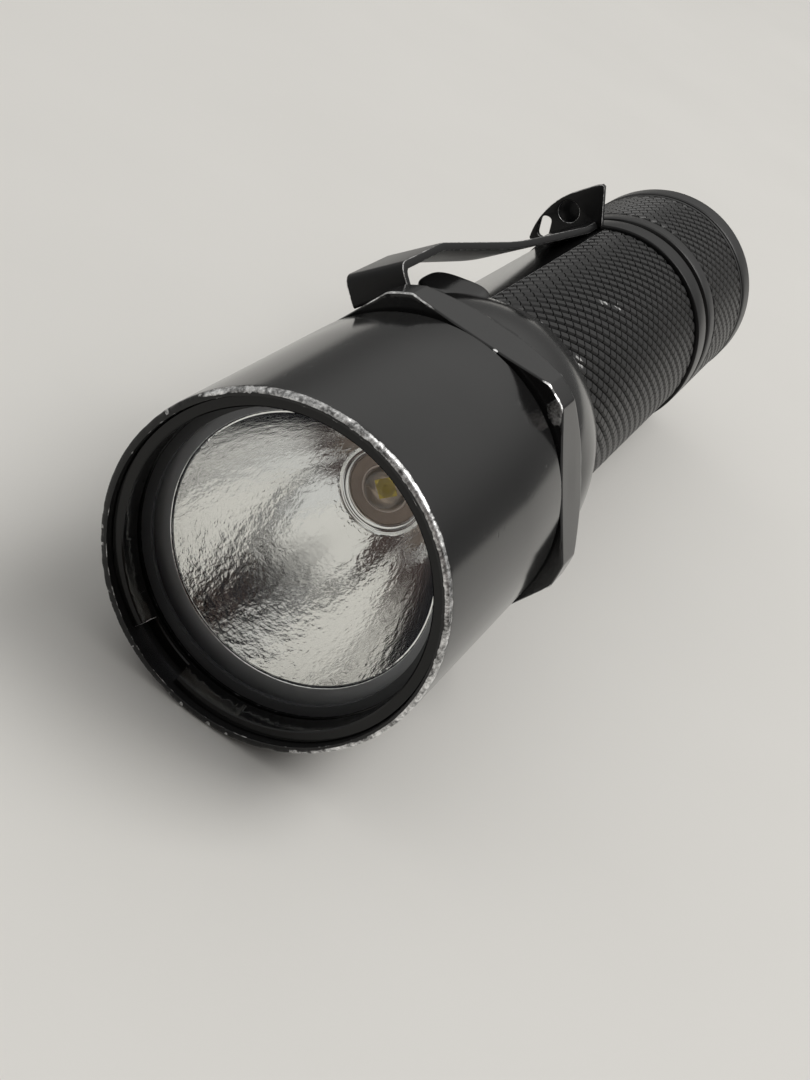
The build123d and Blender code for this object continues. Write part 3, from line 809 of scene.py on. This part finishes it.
def knurl(name, radius, front, rear, core, count, depth, flat=None, slope=36.0, chamfer=0.35):
    """Diamond knurl: beads in broad ridges, between wide grooves one way and narrow ones the other.

    A bead's top is a share of its cell, length along the ridges and breadth across them.
    Each is joined by four slanting sides to the cell's corners, at the grooves' full depth.
    """
    length, breadth = 0.87, 0.54
    half_turn = 180.0 / count
    pitch = math.radians(half_turn) * radius / math.tan(math.radians(slope))
    rows = int(math.ceil((rear - front) / pitch)) + 2
    bm = bmesh.new()
    corners = {}

    def corner(i, j):
        key = (i % (2 * count), j)
        if key not in corners:
            corners[key] = bm.verts.new(at(front + (j - 1) * pitch, radius - depth, i * half_turn))
        return corners[key]

    for j in range(rows + 1):
        for i in range(2 * count):
            if (i + j) % 2 == 0:
                continue
            base = [corner(i - 1, j), corner(i, j - 1), corner(i + 1, j), corner(i, j + 1)]
            offsets = [((p * length - q * breadth) / 2, (p * length + q * breadth) / 2)
                       for p, q in ((-1, 1), (-1, -1), (1, -1), (1, 1))]
            hit = 0.04 * grain((i * 0.37, j * 0.37, 0.0), 1.0, 2.0)
            top = [
                bm.verts.new(at(front + (j - 1 + dj) * pitch, radius + min(hit, 0.0), (i + di) * half_turn))
                for di, dj in offsets
            ]
            for k in range(4):
                n = (k + 1) % 4
                bm.faces.new((base[k], base[n], top[n], top[k]))
            bm.faces.new(top)
    for cut in (front, front + chamfer, rear - chamfer, rear):
        bmesh.ops.bisect_plane(
            bm, geom=bm.verts[:] + bm.edges[:] + bm.faces[:],
            plane_co=at(cut, 0, 0), plane_no=(0, 1, 0),
            clear_outer=cut == rear, clear_inner=cut == front,
        )
    middle = at(0, 0, 0)
    if flat is not None:
        outwards = (at(0, 1, CLIP_ANGLE) - middle).normalized()
        level = middle + outwards * flat * MM
        geometry = bm.verts[:] + bm.edges[:] + bm.faces[:]
        bmesh.ops.bisect_plane(bm, geom=geometry, plane_co=level, plane_no=outwards)
        for vert in bm.verts:
            vert.co -= outwards * max(0.0, (vert.co - level).dot(outwards))
    for vert in bm.verts:
        s = station_of(vert.co.y)
        allowed = radius - max(0.0, front + chamfer - s, s - rear + chamfer)
        least = allowed - 0.05 - depth * smooth(0.0, 1.0, min(s - front, rear - s))
        away = Vector((vert.co.x, 0, vert.co.z - middle.z))
        cut = flat is not None and (vert.co - level).dot(outwards) > -0.3 * MM
        kept = min(max(away.length, 0 if cut else least * MM), allowed * MM)
        if kept != away.length:
            away = away.normalized() * kept
            vert.co = Vector((away.x, vert.co.y, away.z + middle.z))
    open_edges = [e for e in bm.edges if e.is_boundary]
    made = bmesh.ops.extrude_edge_only(bm, edges=open_edges)["geom"]
    for vert in (g for g in made if isinstance(g, bmesh.types.BMVert)):
        away = Vector((vert.co.x, 0, vert.co.z - middle.z)).normalized() * core * MM
        vert.co = Vector((away.x, vert.co.y, away.z + middle.z))
    mesh = bpy.data.meshes.new(name)
    bm.to_mesh(mesh)
    bm.free()
    wear_and_shade = []
    for vert in mesh.vertices:
        away = math.hypot(vert.co.x, vert.co.z - middle.z) / MM
        s = station_of(vert.co.y)
        angle = math.degrees(math.atan2(vert.co.x, vert.co.z - middle.z))
        hit = sum(near(angle, a, 2.6) * (1.0 - smooth(0.6, 1.6, abs(s - m))) for a, m in KNURL_HITS)
        sunk = smooth(0.06, 0.7 * depth, radius - away)
        cut = flat is not None and (vert.co - level).dot(outwards) > -0.3 * MM
        # Painted shade in the grooves: below the tops the value goes under 0 with their depth, which
        # darkens them.
        wear_and_shade.append(min(0.16 + 1.1 * hit, 1.0) if away > radius - 0.05 else (0.0 if cut else -sunk))
    layer = mesh.attributes.new("wear_and_shade", "FLOAT", "POINT")
    layer.data.foreach_set("value", wear_and_shade)
    return finish_object(name, mesh, 20.0)


CLIP_ANGLE = -45.0
TUBE_RADIUS = 13.8
FLAT_HEIGHT = 13.0
KNURL_FRONT = 54.2
KNURL_REAR = 101.6
SEAT_RADIUS = 13.2
# Angle and station of each bright dent.
KNURL_HITS = ((3.4, 54.4), (30.0, 54.4), (28.0, 56.2), (12.0, 73.0), (18.5, 75.3))
KNURL_COUNT = 50
KNURL_DEPTH = 0.55

tube_core = turned("tube_core", section(
    (39.6, 12.0), (53.0, 12.0), (53.0, 13.0), (KNURL_FRONT, 13.0), (KNURL_FRONT, 12.9),
    (KNURL_REAR, 12.9), (KNURL_REAR, SEAT_RADIUS - 0.1), (KNURL_REAR + 0.1, SEAT_RADIUS),
    (106.4, SEAT_RADIUS), (106.6, SEAT_RADIUS - 0.2), (106.6, 12.0), (119.0, 12.0),
    (119.0, 8.8), (41.4, 8.8), (41.4, 7.0), (39.6, 7.0),
), steps=240)
tube_knurl = knurl(
    "tube_knurl", radius=TUBE_RADIUS, front=KNURL_FRONT, rear=KNURL_REAR, core=12.9,
    count=KNURL_COUNT, depth=KNURL_DEPTH, flat=FLAT_HEIGHT - 0.02,
)
place(join("battery_tube_skin", tube_core, tube_knurl), "light", "tube_black", "battery_tube")
flat_half = math.sqrt(TUBE_RADIUS ** 2 - FLAT_HEIGHT ** 2)
flat_outline = [
    (KNURL_FRONT + 0.3, FLAT_HEIGHT - 0.2), (KNURL_REAR - 0.2, FLAT_HEIGHT - 0.2),
    (KNURL_REAR - 0.2, FLAT_HEIGHT), (KNURL_FRONT + 0.3, FLAT_HEIGHT),
]
tube_flat = plate("tube_flat", [flat_outline], 2 * flat_half, 0.04, side_frame(CLIP_ANGLE))
place(tube_flat, "light", "head_black")

CAP_RADIUS = 14.2
CAP_KNURL_FRONT = 111.4
CAP_KNURL_REAR = 127.9
CAP_EDGE = arc((133.0, CAP_RADIUS + 0.15), (134.0, 13.9), (134.5, 12.8), 8)

cap_core = turned("cap_core", section(
    (108.0, 12.05), (108.0, CAP_RADIUS - 0.4), (108.12, CAP_RADIUS - 0.14),
    (108.4, CAP_RADIUS - 0.02), (108.7, CAP_RADIUS), (CAP_KNURL_FRONT - 0.5, CAP_RADIUS),
    (CAP_KNURL_FRONT - 0.2, CAP_RADIUS - 0.08), (CAP_KNURL_FRONT, CAP_RADIUS - 0.5),
    (CAP_KNURL_FRONT, 13.3), (CAP_KNURL_REAR, 13.3), (CAP_KNURL_REAR, CAP_RADIUS - 0.4),
    (CAP_KNURL_REAR + 0.15, CAP_RADIUS - 0.06), (CAP_KNURL_REAR + 0.4, CAP_RADIUS),
    (128.55, CAP_RADIUS), (128.78, CAP_RADIUS - 0.35), (128.86, CAP_RADIUS - 0.4),
    (129.06, CAP_RADIUS - 0.4), (129.12, CAP_RADIUS), (129.35, CAP_RADIUS + 0.13),
    (129.8, CAP_RADIUS + 0.15), *CAP_EDGE,
    (134.5, 7.6), (134.35, 7.3), (131.5, 7.3), (131.5, 9.5), (119.4, 9.5), (119.4, 12.05),
), steps=360)
cap_knurl = knurl(
    "cap_knurl", radius=CAP_RADIUS, front=CAP_KNURL_FRONT, rear=CAP_KNURL_REAR, core=13.3,
    count=KNURL_COUNT + 2, depth=KNURL_DEPTH,
)
place(join("tail_cap_skin", cap_core, cap_knurl), "tail", "cap_black", "tail_cap")

BOOT_TOP = 137.2
boot = turned("switch_boot_skin", section(
    (132.4, 5.6), (132.4, 7.1), (134.9, 7.1), *arc((135.2, 7.1), (136.6, 6.3), (BOOT_TOP, 4.4), 10),
    (BOOT_TOP, 3.6), (BOOT_TOP - 0.22, 3.3), (BOOT_TOP - 0.22, 2.9), (BOOT_TOP - 0.02, 2.6),
    (BOOT_TOP, 1.4), (BOOT_TOP, 0.02), (133.9, 0.02), (133.9, 2.2), (135.2, 2.2), (134.6, 5.6),
), steps=180)
place(boot, "button", "boot_rubber", "switch_boot")

SPRING_LOW, SPRING_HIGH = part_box("switch_spring")
SPRING_WIRE = 0.3
SPRING_TURNS = 3
SPRING_STEPS = 48


def return_spring():
    """The switch's hidden coil, a piece of its own with a mesh of its own."""
    front, rear = station_of(SPRING_LOW.y) + SPRING_WIRE, station_of(SPRING_HIGH.y) - SPRING_WIRE
    radius = (SPRING_HIGH.x - SPRING_LOW.x) / 2 / MM - SPRING_WIRE
    count = SPRING_TURNS * SPRING_STEPS
    rows = []
    for i in range(count + 1):
        middle = lerp(front, rear, i / count)
        rows.append([
            (at(middle + y, radius + x, 360.0 * i / SPRING_STEPS), 0.0)
            for x, y in circle(0, 0, SPRING_WIRE, 12)
        ])
    return make_object("switch_spring_coil", *loft(rows, closed_columns=False), sharp=60.0)


coil = place(return_spring(), "tail", "spring_gold", "switch_spring")
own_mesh(coil)


# ---- clip ---------------------------------------------------------------------------------

SHEET = 0.95
BAND_RADIUS = 13.25
BAND_FRONT = 102.0
BAND_REAR = 106.2
BAND_GAP = 9.0
ARM_WIDTH = 6.9
ARM_ROOT_HEIGHT = 13.3
ARM_ROOT_STATION = 98.0
ARM_BEND = 72.0
ARM_BEND_HEIGHT = 15.95
ARM_HEIGHT = 19.95
ARM_KINK = 49.5
ARM_TIP = 37.6
TIP_HEIGHT = 18.0


def band():
    """The spring band: a strip with rounded edges, bent round the tube with a gap below."""
    half_gap = math.degrees(math.asin(BAND_GAP / 2 / BAND_RADIUS))
    steps = 220
    outline = rounded([
        (BAND_FRONT, BAND_RADIUS, 0.25), (BAND_REAR, BAND_RADIUS, 0.25),
        (BAND_REAR, BAND_RADIUS + SHEET, 0.3), (BAND_FRONT, BAND_RADIUS + SHEET, 0.3),
    ], steps=4)
    middle = (BAND_FRONT + BAND_REAR) / 2
    rows = []
    for i in range(steps + 1):
        angle = CLIP_ANGLE + 180 + half_gap + (360 - 2 * half_gap) * i / steps
        column = []
        for s, r in outline:
            on_edge = r > BAND_RADIUS + 0.6 and abs(s - middle) > 1.85
            column.append((at(s, r, angle), 0.5 if on_edge else 0.0))
        rows.append(column)
    return make_object("clip_band_strip", *loft(rows, closed_columns=False), sharp=50.0)


def fin():
    """The upright tab at the arm's foot, with its lanyard hole and window."""
    outline = [(3.9, 13.0), (-6.2, 13.0)] + arc((-6.5, 14.3), (-3.6, 17.1), (2.0, 18.8), 16)
    outline += [(4.6, 18.95), (5.5, 18.85), (5.75, 18.5)]
    slot_outline = []
    for x, y in rounded([(-1.6, -0.8, 0.79), (1.4, -0.8, 0.79), (1.4, 0.8, 0.79), (-1.6, 0.8, 0.79)]):
        turn = math.radians(60)
        slot_outline.append((-3.9 + x * math.cos(turn) - y * math.sin(turn),
                             15.3 + x * math.sin(turn) + y * math.cos(turn)))
    outlines = [outline, circle(0, 16.4, 1.5), slot_outline]
    return plate("clip_fin", outlines, 1.0, 0.16, front_frame(BAND_FRONT + 0.5, CLIP_ANGLE))


def ear():
    """A second, lower tab behind the first, as the dark shape seen through its hole suggests."""
    outline = [(1.4, 13.0), (-3.4, 13.0), *arc((-3.4, 16.2), (-1.3, 17.75), (1.4, 17.0), 12)]
    return plate("clip_ear", [outline], 0.8, 0.14, front_frame(BAND_REAR - 0.6, CLIP_ANGLE))


def arm():
    """The spring arm: sheet bent up from the fin, along over the tube, and down at the lip."""
    over, under = 1.6, 0.75
    outline = rounded([
        (BAND_FRONT, ARM_ROOT_HEIGHT, 0.0), (ARM_ROOT_STATION, ARM_ROOT_HEIGHT, 4.0),
        (ARM_BEND, ARM_BEND_HEIGHT, 120.0),
        (ARM_KINK, ARM_HEIGHT, 6.0), (ARM_TIP + SHEET, ARM_HEIGHT, under),
        (ARM_TIP + SHEET, TIP_HEIGHT, 0.3), (ARM_TIP, TIP_HEIGHT, 0.3),
        (ARM_TIP, ARM_HEIGHT + SHEET, over), (ARM_KINK, ARM_HEIGHT + SHEET, 6.0),
        (ARM_BEND, ARM_BEND_HEIGHT + SHEET, 120.0),
        (ARM_ROOT_STATION, ARM_ROOT_HEIGHT + SHEET, 4.0), (BAND_FRONT, ARM_ROOT_HEIGHT + SHEET, 0.0),
    ], steps=7)
    strip = plate("clip_arm_strip", [outline], ARM_WIDTH, 0.2, side_frame(CLIP_ANGLE))
    outwards = Vector((math.sin(math.radians(CLIP_ANGLE)), 0, math.cos(math.radians(CLIP_ANGLE))))
    across = Vector((outwards.z, 0, -outwards.x))
    # The lip reaches further down at one of its corners.
    for vert in strip.data.vertices:
        offset = (vert.co - at(ARM_TIP, 0, 0)) / MM
        near_tip = smooth(18.9, TIP_HEIGHT, offset.dot(outwards))
        near_corner = smooth(0.2, -ARM_WIDTH / 2, offset.dot(across))
        if offset.y < 1.5:
            vert.co -= outwards * (0.75 * near_tip * near_corner * MM)
    return strip


place(join("clip_band_skin", band(), fin(), ear()), "light", "clip_black", "clip_band")
place(arm(), "clip", "clip_black", "clip_arm")


# ---- setting ------------------------------------------------------------------------------

floor = make_object("floor", [(-4, -4, 0), (4, -4, 0), (4, 4, 0), (-4, 4, 0)], [(0, 1, 2, 3)])
floor.data.materials.append(floor_material())


def softbox(name, position, target, size, power, colour):
    """Square area light that faces a point."""
    data = bpy.data.lights.new(name, "AREA")
    data.shape = "SQUARE"
    data.size = size
    data.energy = power
    data.color = colour
    obj = bpy.data.objects.new(name, data)
    obj.location = position
    aim = Vector(target) - Vector(position)
    obj.rotation_euler = aim.to_track_quat("-Z", "Y").to_euler()
    bpy.context.scene.collection.objects.link(obj)
    return obj


softbox(
    "key_light", position=(0.56, 0.40, 1.20), target=(0, 0, 0), size=0.8, power=10.3,
    colour=(1.0, 0.985, 0.96),
)


def world():
    """Pale room: bright all round, dim ahead of the lens to the right, where a person stands."""
    scene_world = bpy.data.worlds.new("room")
    scene_world.use_nodes = True
    bpy.context.scene.world = scene_world
    tree = scene_world.node_tree
    tree.nodes.clear()

    def math_node(operation, *values):
        made = tree.nodes.new("ShaderNodeMath")
        made.operation = operation
        for socket, value in zip(made.inputs, values):
            if isinstance(value, bpy.types.NodeSocket):
                tree.links.new(value, socket)
            else:
                socket.default_value = value
        return made.outputs[0]

    def step(value, low, high):
        made = tree.nodes.new("ShaderNodeMapRange")
        made.interpolation_type = "SMOOTHSTEP"
        tree.links.new(value, made.inputs[0])
        made.inputs[1].default_value = low
        made.inputs[2].default_value = high
        return made.outputs[0]

    direction = tree.nodes.new("ShaderNodeTexCoord").outputs["Generated"]
    parts = tree.nodes.new("ShaderNodeSeparateXYZ")
    tree.links.new(direction, parts.inputs[0])
    x, y, z = parts.outputs
    turn = math_node("ARCTAN2", x, math_node("MULTIPLY", y, -1.0))
    bearing = math_node("MULTIPLY", turn, 180 / math.pi)    # degrees right of straight ahead
    right = step(bearing, -16.0, 4.0)
    wide = step(bearing, 100.0, 70.0)
    above = step(z, -0.22, 0.02)
    below_top = step(z, 0.80, 0.55)
    across = math_node("MULTIPLY", right, wide)
    dark = math_node("MULTIPLY", across, math_node("MULTIPLY", above, below_top))
    behind = step(y, 0.25, 0.7)
    low = math_node("MULTIPLY", behind, step(z, 0.48, 0.10))
    room = tree.nodes.new("ShaderNodeMix")
    room.data_type = "RGBA"
    tree.links.new(low, room.inputs[0])
    room.inputs[6].default_value = (0.58, 0.575, 0.56, 1.0)
    room.inputs[7].default_value = (0.18, 0.178, 0.173, 1.0)
    colour = tree.nodes.new("ShaderNodeMix")
    colour.data_type = "RGBA"
    tree.links.new(dark, colour.inputs[0])
    tree.links.new(room.outputs[2], colour.inputs[6])
    colour.inputs[7].default_value = (0.052, 0.036, 0.031, 1.0)
    background = tree.nodes.new("ShaderNodeBackground")
    tree.links.new(colour.outputs[2], background.inputs["Color"])
    background.inputs["Strength"].default_value = 1.0
    output = tree.nodes.new("ShaderNodeOutputWorld")
    tree.links.new(background.outputs[0], output.inputs[0])


world()

# Fitted to the outlines of the rim, the reflector, the flange and the tube.
camera_data = bpy.data.cameras.new("camera")
camera_data.sensor_width = 36.0
camera_data.lens = 59.73
camera_data.clip_start = 0.01
camera_data.clip_end = 20.0
camera = bpy.data.objects.new("camera", camera_data)
bpy.context.scene.collection.objects.link(camera)
RIGHT = Vector((0.81440, 0.38146, 0.43731))
UP = Vector((-0.56031, 0.32077, 0.76365))
BACK = RIGHT.cross(UP)
camera.matrix_world = Matrix((
    (RIGHT.x, UP.x, BACK.x, 0.0322), (RIGHT.y, UP.y, BACK.y, -0.20129),
    (RIGHT.z, UP.z, BACK.z, 0.10120), (0, 0, 0, 1),
))
bpy.context.scene.camera = camera
bpy.context.scene.view_settings.view_transform = "Standard"
